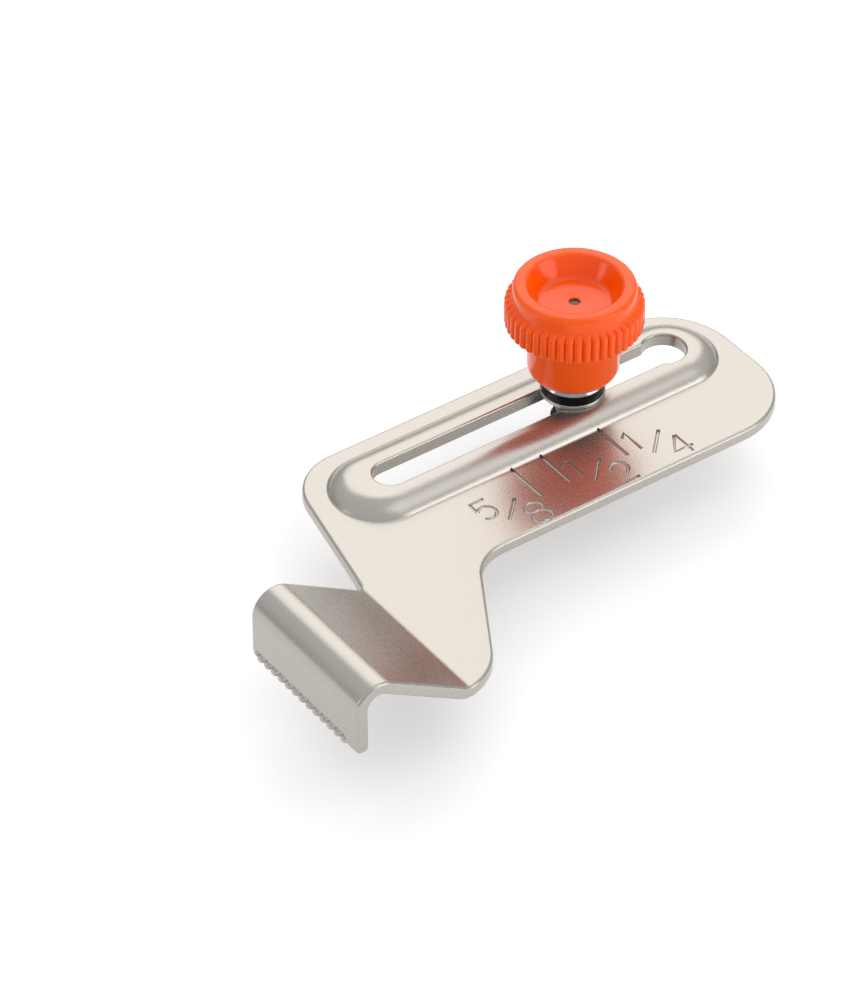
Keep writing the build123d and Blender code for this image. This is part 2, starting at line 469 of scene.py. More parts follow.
class Fold:
    """Where the flat blank's points go once its ramp and lip are folded."""

    def __init__(self, plate):
        self.sheet = plate.sheet
        self.rise = plate.ramp_angle
        self.bend_radius = plate.ramp_bend_radius
        self.crest_radius = plate.crest_radius
        self.fall = self.rise + pi / 2
        bend_reach = self.bend_radius * tan(self.rise / 2)
        crest_reach = self.crest_radius * tan(self.fall / 2)
        slope_run = (plate.bend - plate.lip_face) / cos(self.rise)
        corner_height = self.sheet + (plate.bend - plate.lip_face) * tan(self.rise)
        self.start = plate.bend + bend_reach
        self.ramp_start_x = plate.bend - bend_reach * cos(self.rise)
        self.bend_run = self.bend_radius * self.rise
        self.ramp_run = slope_run - bend_reach - crest_reach
        self.crest_run = self.crest_radius * self.fall
        self.lip_run = corner_height - crest_reach - plate.lip_bottom
        self.end = self.start - (
            self.bend_run + self.ramp_run + self.crest_run + self.lip_run
        )

    def flat_x(self, x):
        """Where a point of the folded ramp, at x, lies on the flat blank."""
        if x >= self.start:
            return x
        if x >= self.ramp_start_x:
            share_bent = (self.start - x) / (self.start - self.ramp_start_x)
            return self.start - self.bend_run * share_bent
        ramp_length = (self.ramp_start_x - x) / cos(self.rise)
        return self.start - self.bend_run - ramp_length

    def cuts(self):
        """Places on the blank where its faces are divided, so that they can fold."""
        crest = self.start - self.bend_run - self.ramp_run
        bend = [self.start - self.bend_run * k / BEND_STEPS for k in range(BEND_STEPS + 1)]
        return bend + [crest - self.crest_run * k / CREST_STEPS for k in range(CREST_STEPS + 1)]

    def place(self, x, y, z):
        """The folded place of a point of the blank."""
        run = self.start - x
        if run <= 0:
            return Vector((x, y, z))
        top, lean = Vector((self.start, self.sheet)), 0.0
        stretches = (
            (self.bend_run, self.bend_radius, 1), (self.ramp_run, None, 0),
            (self.crest_run, self.crest_radius, -1), (self.lip_run, None, 0),
        )
        for stretch, radius, turn_way in stretches:
            step = min(run, stretch)
            if radius:
                centre = top + Vector((sin(lean), cos(lean))) * radius * turn_way
                lean += turn_way * step / radius
                top = centre - Vector((sin(lean), cos(lean))) * radius * turn_way
            else:
                top = top + Vector((-cos(lean), sin(lean))) * step
            run -= step
            if run <= 0:
                break
        under = top - Vector((sin(lean), cos(lean))) * (self.sheet - z)
        return Vector((under.x, y, under.y))


def blank_outline(plate, fold):
    """Points round the flat blank."""
    neck_run = (plate.near - plate.head_near) / tan(plate.neck_slope)
    head_far = plate.head_near + plate.head_width
    side_run = (plate.far - head_far) * tan(plate.side_slope)
    points = rounded_polygon([
        (plate.right, plate.far, plate.corner),
        (plate.bend + side_run, plate.far, plate.far_left_corner),
        (plate.bend, head_far, plate.notch_radius),
        (fold.end, head_far, plate.lip_far_corner),
        (fold.end, plate.head_near, plate.lip_near_corner),
        (plate.neck_top - neck_run, plate.head_near, plate.neck_corner_radius),
        (plate.neck_top, plate.near, plate.neck_root_radius),
        (plate.right, plate.near, plate.corner),
    ])
    return [
        (fold.flat_x(x) if x > plate.lip_face else x, y) for x, y in points
    ]


def round_rim(radius, rise_way, steps=5):
    """Rounds the rim of the selected flat face, upwards or downwards."""
    here = Vector((0, 0))
    for index in range(1, steps + 1):
        turn = pi / 2 * index / steps
        step = Vector((1 - cos(turn), sin(turn))) * radius
        bpy.ops.mesh.inset(thickness=step.x - here.x, depth=0)
        bpy.ops.transform.translate(value=(0, 0, rise_way * (step.y - here.y)))
        here = step


def blank_slab(plate, fold):
    """The flat blank with its edges rounded and its two broad faces left open."""
    ease = plate.edge_round
    slab = ring_of_edges("plate_body", [(x, y, ease) for x, y in blank_outline(plate, fold)])
    bpy.ops.object.mode_set(mode="EDIT")
    bpy.ops.mesh.select_all(action="SELECT")
    bpy.ops.mesh.edge_face_add()
    bpy.ops.mesh.extrude_region_move(
        TRANSFORM_OT_translate={"value": (0, 0, plate.sheet - 2 * ease)}
    )
    round_rim(ease, 1)
    select_parts(slab, "FACE", lambda face: len(face.verts) > 4 and all(
        vertex.co.z < ease + TINY for vertex in face.verts
    ))
    round_rim(ease, -1)
    bpy.ops.mesh.select_all(action="SELECT")
    bpy.ops.mesh.normals_make_consistent(inside=False)
    bpy.ops.mesh.select_all(action="SELECT")
    bpy.ops.mesh.bisect(
        plane_co=(fold.end + plate.lip_lead, 0, plate.sheet), plane_no=(-1, 0, 1),
        use_fill=True, clear_outer=True,
    )
    select_parts(slab, "FACE", lambda face: (
        abs(face.normal.z) > 0.999 and face.calc_area() > BROAD_FACE
    ))
    bpy.ops.mesh.delete(type="ONLY_FACE")
    bpy.ops.object.mode_set(mode="OBJECT")
    return slab


def flank(foot, flat, rise, foot_blend):
    """(half width, height) steps up a pressed side, from its foot to its flat."""
    foot_way = Vector(FOOT_LEAN).normalized()
    low = Vector((foot, 0)) - foot_way * foot_blend
    arm = hypot(foot - flat, rise) / 3
    a, b = Vector((flat, rise)), Vector((flat + arm, rise))
    c = low - foot_way * arm * FOOT_PULL
    down = []
    for index in range(FLANK_STEPS + 1):
        t = index / FLANK_STEPS
        down.append(
            a * (1 - t) ** 3 + 3 * b * t * (1 - t) ** 2
            + 3 * c * t * t * (1 - t) + low * t ** 3
        )
    if foot_blend:
        end, corner = Vector((foot + foot_blend * FOOT_REACH, 0)), Vector((foot, 0))
        for index in range(1, FOOT_STEPS + 1):
            t = index / FOOT_STEPS
            down.append(low * (1 - t) ** 2 + 2 * corner * t * (1 - t) + end * t * t)
    return list(reversed(down))


def stadium(boss, half_width, height):
    """Points round a stadium along the boss, at one height."""
    right = arc(boss.right, half_width, -pi / 2, pi / 2, BOSS_END_STEPS)
    left = arc(boss.left, half_width, pi / 2, 3 * pi / 2, BOSS_END_STEPS)
    return [(x, y, height) for x, y in right + left]


def pressed_skin(name, boss, steps, base):
    """An open skin that climbs the steps from foot to flat."""
    start, *rest = steps
    skin = ring_of_edges(name, stadium(boss, start.x, base + start.y))
    bpy.ops.object.mode_set(mode="EDIT")
    bpy.ops.mesh.select_all(action="SELECT")
    bpy.ops.mesh.edge_face_add()
    here = start
    for step in rest:
        bpy.ops.mesh.inset(thickness=here.x - step.x, depth=0)
        bpy.ops.transform.translate(value=(0, 0, step.y - here.y))
        here = step
    bpy.ops.mesh.delete(type="ONLY_FACE")
    bpy.ops.object.mode_set(mode="OBJECT")
    return skin


def slot_wall(boss, top, bottom):
    """The slot's wall with its rounded upper rim, keyhole end included."""
    reach = boss.slot_round
    half, hole = boss.slot_half_width + reach, boss.keyhole_radius + reach
    meet = asin(half / hole)
    left = arc(boss.slot_left, half, pi / 2, 3 * pi / 2, SLOT_END_STEPS)
    right = arc(boss.keyhole, hole, -(pi - meet), pi - meet, KEYHOLE_STEPS)
    wall = ring_of_edges("slot_wall", [(x, y, top) for x, y in left + right])
    bpy.ops.object.mode_set(mode="EDIT")
    bpy.ops.mesh.select_all(action="SELECT")
    bpy.ops.mesh.edge_face_add()
    here = Vector((0, 0))
    for index in range(1, RIM_STEPS + 1):
        turn = pi / 2 * index / RIM_STEPS
        step = Vector((sin(turn), 1 - cos(turn))) * reach
        bpy.ops.mesh.inset(thickness=step.x - here.x, depth=0)
        bpy.ops.transform.translate(value=(0, 0, here.y - step.y))
        here = step
    bpy.ops.mesh.extrude_region_move(
        TRANSFORM_OT_translate={"value": (0, 0, bottom - top + reach)}
    )
    bpy.ops.mesh.delete(type="ONLY_FACE")
    bpy.ops.object.mode_set(mode="OBJECT")
    return wall


def fill_flat(piece, height):
    """Fills the flat gap between the open rims that lie at one height."""
    select_parts(piece, "EDGE", lambda edge: edge.is_boundary and all(
        abs(vertex.co.z - height) < LEVEL_REACH for vertex in edge.verts
    ))
    bpy.ops.mesh.fill()


def fold_blank(piece, fold):
    """Divides the blank across its folds and bends it up."""
    select_only(piece)
    bpy.ops.object.mode_set(mode="EDIT")
    for x in fold.cuts():
        bpy.ops.mesh.select_all(action="SELECT")
        bpy.ops.mesh.bisect(plane_co=(x, 0, 0), plane_no=(1, 0, 0), threshold=TINY)
    bpy.ops.object.mode_set(mode="OBJECT")
    for vertex in piece.data.vertices:
        vertex.co = fold.place(*vertex.co)


def tooth_y(teeth, plate, number):
    """Y of a tooth's middle, or of the gap beside it for a half number."""
    return plate.head_near + plate.head_width - teeth.first - number * teeth.pitch


def egg(place, radii):
    """An egg-shaped lump at a place."""
    bpy.ops.object.select_all(action="DESELECT")
    bpy.ops.mesh.primitive_uv_sphere_add(
        segments=20, ring_count=14, radius=1, location=place, scale=radii
    )
    bpy.ops.object.transform_apply(location=True, rotation=True, scale=True)
    return bpy.context.object


def press_teeth(piece, teeth, plate):
    """Presses faint flutes, then each tooth's hollow and bead, then the notches between."""
    face = plate.lip_face
    radii = (teeth.depth, teeth.half_width, teeth.half_height)
    hollow_radii = (teeth.hollow_depth, 0.9 * teeth.half_width, 0.8 * teeth.half_height)
    places = [tooth_y(teeth, plate, number) for number in range(teeth.number)]
    between = [tooth_y(teeth, plate, number + 0.5) for number in range(teeth.number - 1)]
    out = face - teeth.flute_radius + teeth.flute_depth
    combine(piece, [
        round_bar(
            [
                (out - teeth.flute_fade, y, teeth.flute_top), (out, y, teeth.flute_bend),
                (out + teeth.flute_sink, y, plate.lip_bottom),
            ],
            teeth.flute_radius,
        ) for y in between
    ], "DIFFERENCE")
    combine(piece, [
        egg((face, y, teeth.middle + teeth.crease), hollow_radii) for y in places
    ], "DIFFERENCE")
    combine(piece, [
        egg((face - teeth.proud + teeth.depth, y, teeth.middle), radii) for y in places
    ], "UNION")
    notch_radii = (teeth.notch_depth, teeth.notch_width / 2, teeth.half_height)
    combine(piece, [
        egg((face, y, teeth.middle - teeth.half_height / 2), notch_radii) for y in between
    ], "DIFFERENCE")


def ellipse_points(centre, radii, start, end, steps=14):
    """Points round part of an ellipse, angles in degrees."""
    turns = [radians(start + (end - start) * index / steps) for index in range(steps + 1)]
    return [(centre[0] + radii[0] * cos(a), centre[1] + radii[1] * sin(a)) for a in turns]


def figure_strokes():
    """The strokes of the three stamped fractions, as points on the plate's face."""
    five = [
        [(-14.5, -6.4), (-15.95, -6.4), (-16.02, -7.7)],
        ellipse_points((-15.3, -8.12), (0.83, 0.86), 148, -140),
    ]
    eight = [
        ellipse_points((-11.6, -9.85), (0.82, 0.62), 90, 450, 20),
        ellipse_points((-11.6, -11.22), (0.92, 0.74), 90, 450, 20),
    ]
    two = [
        ellipse_points((-2.3, -9.95), (0.8, 0.78), 165, -40) + [(-3.15, -11.85), (-1.45, -11.8)],
    ]
    four = [
        [(4.4, -9.1), (3.05, -11.0), (5.0, -11.05)],
        [(4.45, -9.1), (4.45, -11.8)],
    ]
    ones = [
        [(-6.5, -6.95), (-5.5, -6.35), (-5.5, -9.0)],
        [(0.35, -6.85), (0.95, -6.3), (0.95, -8.95)],
    ]
    bars = [
        [(-14.3, -10.0), (-12.2, -7.9)],
        [(-5.0, -10.05), (-2.9, -7.8)],
        [(1.45, -10.05), (3.75, -7.7)],
    ]
    return five + eight + two + four + ones + bars


def stamp_lines(piece, lines, width, depth, surface):
    """Presses round-bottomed lines into the plate's face."""
    radius = (width * width / 4 + depth * depth) / (2 * depth)
    combine(piece, [
        round_bar([(x, y, surface + radius - depth) for x, y in line], radius)
        for line in lines
    ], "DIFFERENCE", crossing=True)


class MakePlate(bpy.types.Operator):
    """Models the pressed plate: blank, boss, slot, ramp, toothed lip and scale"""

    bl_idname = "gauge.make_plate"
    bl_label = "Make plate"

    def execute(self, context):
        scene = context.scene
        plate = in_millimetres(scene.gauge_plate)
        boss = in_millimetres(scene.gauge_boss)
        teeth = in_millimetres(scene.gauge_teeth)
        scale = in_millimetres(scene.gauge_scale)
        fold = Fold(plate)
        boss_top, pocket_top = plate.sheet + boss.rise, boss.rise
        skins = [
            blank_slab(plate, fold),
            pressed_skin(
                "boss", boss, flank(boss.foot, boss.flat, boss.rise, boss.foot_blend),
                plate.sheet,
            ),
            pressed_skin(
                "pocket", boss, flank(boss.pocket_foot, boss.pocket_flat, pocket_top, 0), 0,
            ),
            slot_wall(boss, boss_top, pocket_top),
        ]
        piece = join_pieces(skins)
        bpy.ops.object.mode_set(mode="EDIT")
        for height in (plate.sheet, boss_top, pocket_top, 0):
            fill_flat(piece, height)
        merge_and_orient()
        bpy.ops.mesh.dissolve_limited(angle_limit=radians(0.05))
        bpy.ops.object.mode_set(mode="OBJECT")
        fold_blank(piece, fold)
        press_teeth(piece, teeth, plate)
        mark_places = [scale.zero - (mark - MARKS[0]) * INCH for mark in MARKS]
        marks = [[(x, scale.inner), (x, scale.outer)] for x in mark_places]
        stamp_lines(piece, marks, scale.mark_width, scale.mark_depth, plate.sheet)
        stamp_lines(
            piece, figure_strokes(), scale.figure_width, scale.figure_depth, plate.sheet
        )
        finish_piece(piece, "gauge_plate", "plate", plated_steel(scene))
        return {"FINISHED"}


# ---------------------------------------------------------------- the knob


def knob_profile(knob, stud):
    """(radius, z) points round the knob's moulded section, outside and inside."""
    return rounded_polygon([
        (stud.neck_radius, knob_low.z, 0),
        (knob.hub_radius, knob_low.z, knob.hub_foot_round),
        (knob.hub_radius, knob.band_base, 0.15),
        (knob.band_radius, knob.band_base, knob.band_round),
        (knob.band_radius, knob.band_top, knob.band_round),
        (knob.rim_radius, knob.rim_foot, knob.shelf_round),
        (knob.rim_radius, knob_high.z, knob.rim_round),
        (knob.dish_opening, knob_high.z, knob.rim_round),
        (knob.dish_floor_radius, knob.dish_floor, knob.dish_floor_round),
        (knob.hole_radius, knob.dish_floor, 0.08),
        (knob.hole_radius, stud_high.z, 0),
        (stud.stem_radius, stud_high.z, 0),
        (stud.stem_radius, stud.anchor_top, 0),
        (stud.anchor_radius, stud.anchor_top, 0),
        (stud.anchor_radius, stud.anchor_base, 0),
        (stud.neck_radius, stud.anchor_base, 0),
    ], radians(15))


def draw_in_valleys(piece, knob):
    """Draws the band's wall in between its convex finger lobes."""
    inner = knob.band_radius - knob.band_round - 0.01
    pitch = 2 * pi / knob.lobes
    lobe_reach = 0.96
    full_drop = 1 - sqrt(1 - lobe_reach ** 2)
    for vertex in piece.data.vertices:
        radius = hypot(vertex.co.x, vertex.co.y)
        if radius < inner:
            continue
        turn = (Vector((vertex.co.x, vertex.co.y)).angle_signed(Vector((1, 0))) / pitch) % 1
        off_crown = abs(turn - 0.5) * 2
        drop = 1 - sqrt(1 - (lobe_reach * off_crown) ** 2)
        keep = (radius - knob.lobe_depth * drop / full_drop) / radius
        vertex.co.x *= keep
        vertex.co.y *= keep


class MakeKnob(bpy.types.Operator):
    """Models the knob: hub, lobed band, rim and dished top, moulded round the stud"""

    bl_idname = "gauge.make_knob"
    bl_label = "Make knob"

    def execute(self, context):
        scene = context.scene
        knob, stud = in_millimetres(scene.gauge_knob), in_millimetres(scene.gauge_stud)
        piece = spin_solid("knob_body", knob_profile(knob, stud), knob.lobes * STEPS_PER_LOBE)
        draw_in_valleys(piece, knob)
        finish_piece(piece, "clamp_knob", "thumbscrew", orange_plastic(scene))
        return {"FINISHED"}


# ---------------------------------------------------------------- stud and rings


def screw_thread(stud):
    """The threaded length: a helix cut square at its ends and chamfered below."""
    pitch, root, crest = stud.pitch, stud.thread_root, stud.thread_radius - 0.01
    start = stud_low.z - 2 * pitch
    profile = [
        (root, 0), (root, 0.12 * pitch), (crest, 0.44 * pitch),
        (crest, 0.56 * pitch), (root, 0.88 * pitch), (root, pitch),
    ]
    thread = ring_of_edges(
        "thread", [(r, 0, start + z) for r, z in profile], closed=False
    )
    turns = ceil((stud.thread_top - stud_low.z) / pitch) + 4
    screw = thread.modifiers.new("Screw", "SCREW")
    screw.screw_offset, screw.iterations = pitch, turns
    screw.steps = screw.render_steps = 48
    bpy.ops.object.modifier_apply(modifier=screw.name)
    bpy.ops.object.mode_set(mode="EDIT")
    bpy.ops.mesh.select_all(action="SELECT")
    bpy.ops.mesh.remove_doubles(threshold=1e-3)
    for height, way in ((stud.thread_top, 1), (stud_low.z, -1)):
        bpy.ops.mesh.select_all(action="SELECT")
        bpy.ops.mesh.bisect(
            plane_co=(0, 0, height), plane_no=(0, 0, way), use_fill=True, clear_outer=True,
        )
    bpy.ops.mesh.select_all(action="SELECT")
    bpy.ops.mesh.normals_make_consistent(inside=False)
    bpy.ops.object.mode_set(mode="OBJECT")
    limit = stud.thread_radius
    envelope = spin_solid("envelope", [
        (0, stud_low.z - 0.01),
        (limit - stud.chamfer, stud_low.z - 0.01),
        (limit, stud_low.z + stud.chamfer),
        (limit, stud.thread_top + 0.5),
        (0, stud.thread_top + 0.5),
    ], STUD_STEPS, closed=False)
    combine(thread, [envelope], "INTERSECT")
    return thread


class MakeStud(bpy.types.Operator):
    """Models the captive screw: thread, plain neck, anchor head and stem"""

    bl_idname = "gauge.make_stud"
    bl_label = "Make stud"

    def execute(self, context):
        stud = in_millimetres(context.scene.gauge_stud)
        piece = screw_thread(stud)
        shank = spin_solid("shank", [
            (0, stud.thread_top - 0.5),
            (stud.neck_radius, stud.thread_top - 0.5),
            (stud.neck_radius, stud.anchor_base),
            (stud.anchor_radius, stud.anchor_base),
            (stud.anchor_radius, stud.anchor_top),
            (stud.stem_radius, stud.anchor_top),
            (stud.stem_radius, stud_high.z),
            (0, stud_high.z),
        ], STUD_STEPS, closed=False)
        combine(piece, [shank], "UNION")
        piece.name = piece.data.name = "stud_body"
        finish_piece(piece, "clamp_stud", "thumbscrew", dark_steel(context.scene))
        return {"FINISHED"}


class MakeCollar(bpy.types.Operator):
    """Models the polished collar that spaces the knob off the washer"""

    bl_idname = "gauge.make_collar"
    bl_label = "Make collar"

    def execute(self, context):
        ring = in_millimetres(context.scene.gauge_rings)
        low, high = collar_low.z, collar_high.z
        profile = rounded_polygon([
            (ring.bore, low, 0.06),
            (ring.radius, low, 0.1),
            (ring.radius, ring.collar_shoulder, 0.12),
            (ring.collar_top_radius, high, 0.08),
            (ring.bore, high, 0.06),
        ], radians(15))
        piece = spin_solid("collar_body", profile, RING_STEPS)
        material = collar_steel_painted_reflections(context.scene)
        finish_piece(piece, "spacer_collar", "collar", material)
        return {"FINISHED"}


class MakeWasher(bpy.types.Operator):
    """Models the plain washer that rides on the boss"""

    bl_idname = "gauge.make_washer"
    bl_label = "Make washer"

    def execute(self, context):
        ring = in_millimetres(context.scene.gauge_rings)
        low, high, ease = washer_low.z + ring.seat_gap, washer_high.z, ring.washer_round
        profile = rounded_polygon([
            (ring.bore, low, ease), (ring.radius, low, ease),
            (ring.radius, high, ease), (ring.bore, high, ease),
        ], radians(15))
        piece = spin_solid("washer_body", profile, RING_STEPS)
        material = bright_steel(context.scene)
        finish_piece(piece, "plain_washer", "washer", material)
        return {"FINISHED"}


# ---------------------------------------------------------------- finishes


def node_group(name, inputs, outputs):
    """An empty shader node group with float inputs, and its two end nodes."""
    group = bpy.data.node_groups.new(name, "ShaderNodeTree")
    for label, value in inputs.items():
        socket = group.interface.new_socket(
            name=label, in_out="INPUT", socket_type="NodeSocketFloat"
        )
        socket.default_value = value
    for label, kind in outputs.items():
        group.interface.new_socket(name=label, in_out="OUTPUT", socket_type=kind)
    start = group.nodes.new("NodeGroupInput")
    end = group.nodes.new("NodeGroupOutput")
    return group, start, end


def add_node(tree, kind, **settings):
    """A new node with its settings given by name."""
    node = tree.nodes.new(kind)
    for label, value in settings.items():
        setattr(node, label, value)
    return node


def mixed_range(tree, value, low, high):
    """Maps a 0 to 1 value to the range from low to high."""
    node = add_node(tree, "ShaderNodeMapRange")
    tree.links.new(value, node.inputs["Value"])
    node.inputs["To Min"].default_value = low
    node.inputs["To Max"].default_value = high
    return node.outputs["Result"]


def noise(tree, place, scale, detail):
    """A noise texture on the given coordinates, its scale taken from a socket."""
    node = add_node(tree, "ShaderNodeTexNoise")
    tree.links.new(place, node.inputs["Vector"])
    tree.links.new(scale, node.inputs["Scale"])
    node.inputs["Detail"].default_value = detail
    return node.outputs["Fac"]


def tumbled_grain():
    """Shared group: the soft pitting and cloudiness that tumbling and moulding leave."""
    group = bpy.data.node_groups.get("Tumbled grain")
    if group:
        return group
    group, start, end = node_group(
        "Tumbled grain",
        {"Pit scale": 3500, "Cloud scale": 160, "Pit share": 0.5},
        {"Grain": "NodeSocketFloat", "Clouds": "NodeSocketFloat"},
    )
    place = add_node(group, "ShaderNodeTexCoord").outputs["Object"]
    pits = noise(group, place, start.outputs["Pit scale"], 3)
    clouds = noise(group, place, start.outputs["Cloud scale"], 4)
    mix = add_node(group, "ShaderNodeMix", data_type="FLOAT")
    group.links.new(start.outputs["Pit share"], mix.inputs["Factor"])
    group.links.new(clouds, mix.inputs["A"])
    group.links.new(pits, mix.inputs["B"])
    group.links.new(mix.outputs["Result"], end.inputs["Grain"])
    group.links.new(clouds, end.inputs["Clouds"])
    return group


def turned_rings():
    """Shared group: the fine rings a lathe leaves round the Z axis."""
    group = bpy.data.node_groups.get("Turned rings")
    if group:
        return group
    group, start, end = node_group(
        "Turned rings", {"Ring scale": 9000}, {"Rings": "NodeSocketFloat"},
    )
    place = add_node(group, "ShaderNodeTexCoord").outputs["Object"]
    split = add_node(group, "ShaderNodeSeparateXYZ")
    group.links.new(place, split.inputs["Vector"])
    flat = add_node(group, "ShaderNodeCombineXYZ")
    group.links.new(split.outputs["X"], flat.inputs["X"])
    group.links.new(split.outputs["Y"], flat.inputs["Y"])
    radius = add_node(group, "ShaderNodeVectorMath", operation="LENGTH")
    group.links.new(flat.outputs["Vector"], radius.inputs[0])
    along = add_node(group, "ShaderNodeCombineXYZ")
    group.links.new(radius.outputs["Value"], along.inputs["X"])
    group.links.new(split.outputs["Z"], along.inputs["Z"])
    rings = noise(group, along.outputs["Vector"], start.outputs["Ring scale"], 2)
    group.links.new(rings, end.inputs["Rings"])
    return group


def place_group(tree, group, **values):
    """The group placed in a material with its own input values."""
    node = add_node(tree, "ShaderNodeGroup", node_tree=group)
    for label, value in values.items():
        node.inputs[label.replace("_", " ")].default_value = value
    return node


def new_material(name, metallic, roughness):
    """A material with a Principled shader, and its tree and shader."""
    material = bpy.data.materials.new(name)
    material.use_nodes = True
    tree = material.node_tree
    shader = tree.nodes["Principled BSDF"]
    shader.inputs["Metallic"].default_value = metallic
    shader.inputs["Roughness"].default_value = roughness
    return material, tree, shader


def tint(tree, shader, value, base, low, high):
    """Lets the base colour wander between low and high times itself."""
    mix = add_node(tree, "ShaderNodeMix", data_type="RGBA")
    tree.links.new(value, mix.inputs["Factor"])
    mix.inputs["A"].default_value = (*[min(1, c * low) for c in base[:3]], 1)
    mix.inputs["B"].default_value = (*[min(1, c * high) for c in base[:3]], 1)
    tree.links.new(mix.outputs["Result"], shader.inputs["Base Color"])


def bump(tree, shader, height, distance, strength):
    """Raises the surface's shading by a height map."""
    node = add_node(tree, "ShaderNodeBump")
    node.inputs["Distance"].default_value = distance
    node.inputs["Strength"].default_value = strength
    tree.links.new(height, node.inputs["Height"])
    tree.links.new(node.outputs["Normal"], shader.inputs["Normal"])


def plated_steel(scene):
    """Satin nickel plate over tumbled steel."""
    colours = scene.gauge_colours
    material, tree, shader = new_material("Plated steel", 0.85, colours.plate_gloss)
    grain = place_group(tree, tumbled_grain(), Pit_scale=5200, Cloud_scale=170, Pit_share=0.65)
    tint(tree, shader, grain.outputs["Grain"], colours.plate, 0.93, 1.07)
    rough = mixed_range(
        tree, grain.outputs["Grain"], colours.plate_gloss - 0.07, colours.plate_gloss + 0.09
    )
    tree.links.new(rough, shader.inputs["Roughness"])
    bump(tree, shader, grain.outputs["Grain"], 0.03 * MM, 0.26)
    return material


def turned_steel(name, base, roughness, ring_scale, strength):
    """Steel with lathe rings on it: its material, tree and shader."""
    material, tree, shader = new_material(name, 1, roughness)
    rings = place_group(tree, turned_rings(), Ring_scale=ring_scale)
    grain = place_group(tree, tumbled_grain(), Pit_scale=5200, Cloud_scale=420, Pit_share=0.3)
    tint(tree, shader, grain.outputs["Clouds"], base, 0.92, 1.06)
    rough = mixed_range(tree, rings.outputs["Rings"], roughness * 0.7, roughness * 1.4)
    tree.links.new(rough, shader.inputs["Roughness"])
    bump(tree, shader, rings.outputs["Rings"], 0.02 * MM, strength)
    return material, tree, shader


def bright_steel(scene):
    """The washer's bright steel."""
    return turned_steel("Bright steel", scene.gauge_colours.washer, 0.22, 5200, 0.3)[0]


def collar_steel_painted_reflections(scene):
    """The collar's polished steel, painted near black round its side as a dark reflection and
    painted bright on its bevel as a light reflection.
    """
    colours = scene.gauge_colours
    material, tree, shader = turned_steel("Polished steel", colours.collar_side, 0.17, 9000, 0.12)
    # Painted reflections: at the shoulder the base colour switches from the side's painted dark
    # reflection to the bevel's painted bright reflection.
    height = add_node(tree, "ShaderNodeSeparateXYZ")
    place = add_node(tree, "ShaderNodeTexCoord").outputs["Object"]
    tree.links.new(place, height.inputs["Vector"])
    shoulder = scene.gauge_rings.collar_shoulder
    bright = add_node(tree, "ShaderNodeMapRange")
    tree.links.new(height.outputs["Z"], bright.inputs["Value"])
    bright.inputs["From Min"].default_value = shoulder - 0.04 * MM
    bright.inputs["From Max"].default_value = shoulder + 0.02 * MM
    mix = add_node(tree, "ShaderNodeMix", data_type="RGBA")
    tree.links.new(bright.outputs["Result"], mix.inputs["Factor"])
    tree.links.new(shader.inputs["Base Color"].links[0].from_socket, mix.inputs["A"])
    mix.inputs["B"].default_value = colours.collar_top
    tree.links.new(mix.outputs["Result"], shader.inputs["Base Color"])
    return material


def dark_steel(scene):
    """The stud's dark oiled steel."""
    return turned_steel("Dark steel", scene.gauge_colours.stud, 0.34, 7000, 0.3)[0]


def orange_plastic(scene):
    """The knob's glossy, slightly translucent plastic."""
    base = scene.gauge_colours.knob
    material, tree, shader = new_material("Orange plastic", 0, 0.3)
    grain = place_group(tree, tumbled_grain(), Pit_scale=2200, Cloud_scale=240, Pit_share=0.6)
    tint(tree, shader, grain.outputs["Clouds"], base, 0.93, 1.07)
    rough = mixed_range(tree, grain.outputs["Grain"], 0.09, 0.22)
    tree.links.new(rough, shader.inputs["Roughness"])
    shader.inputs["Subsurface Weight"].default_value = 0.25
    shader.inputs["Subsurface Radius"].default_value = (1.0, 0.25, 0.05)
    shader.inputs["Subsurface Scale"].default_value = 1.2 * MM
    shader.inputs["Specular IOR Level"].default_value = 0.36
    bump(tree, shader, grain.outputs["Grain"], 0.03 * MM, 0.2)
    return material


# ---------------------------------------------------------------- stage


# Each softbox: name, direction, distance, width, height, radiance and colour
SOFT_BOXES = (
    ("key", (0.447, 0.624, 0.641), 0.55, 0.5, 0.42, 1.3, (1.0, 0.97, 0.94)),
    ("top", (0.3, -0.36, 0.9), 0.7, 0.45, 0.4, 0.8, (1.0, 1.0, 1.0)),
    ("front right", (0.5, -0.82, 0.28), 0.5, 0.34, 0.22, 2.4, (1.0, 1.0, 1.0)),
    ("left", (-0.95, 0.26, 0.2), 0.5, 0.12, 0.14, 2.5, (1.0, 1.0, 1.0)),
)
HORIZON_COLOUR = (0.42, 0.41, 0.40, 1)
SKY_COLOUR = (1.0, 1.02, 1.04, 1)


def soft_box(name, direction, distance, width, height, radiance, tint_colour):
    """A studio softbox that faces the part from the given direction."""
    away = Vector(direction).normalized()
    bpy.ops.object.light_add(type="AREA", location=away * distance)
    light = bpy.context.object
    light.name = light.data.name = name
    light.rotation_mode = "QUATERNION"
    light.rotation_quaternion = away.to_track_quat("Z", "Y")
    light.data.shape = "RECTANGLE"
    light.data.size, light.data.size_y = width, height
    light.data.energy = radiance * pi * width * height
    light.data.color = tint_colour


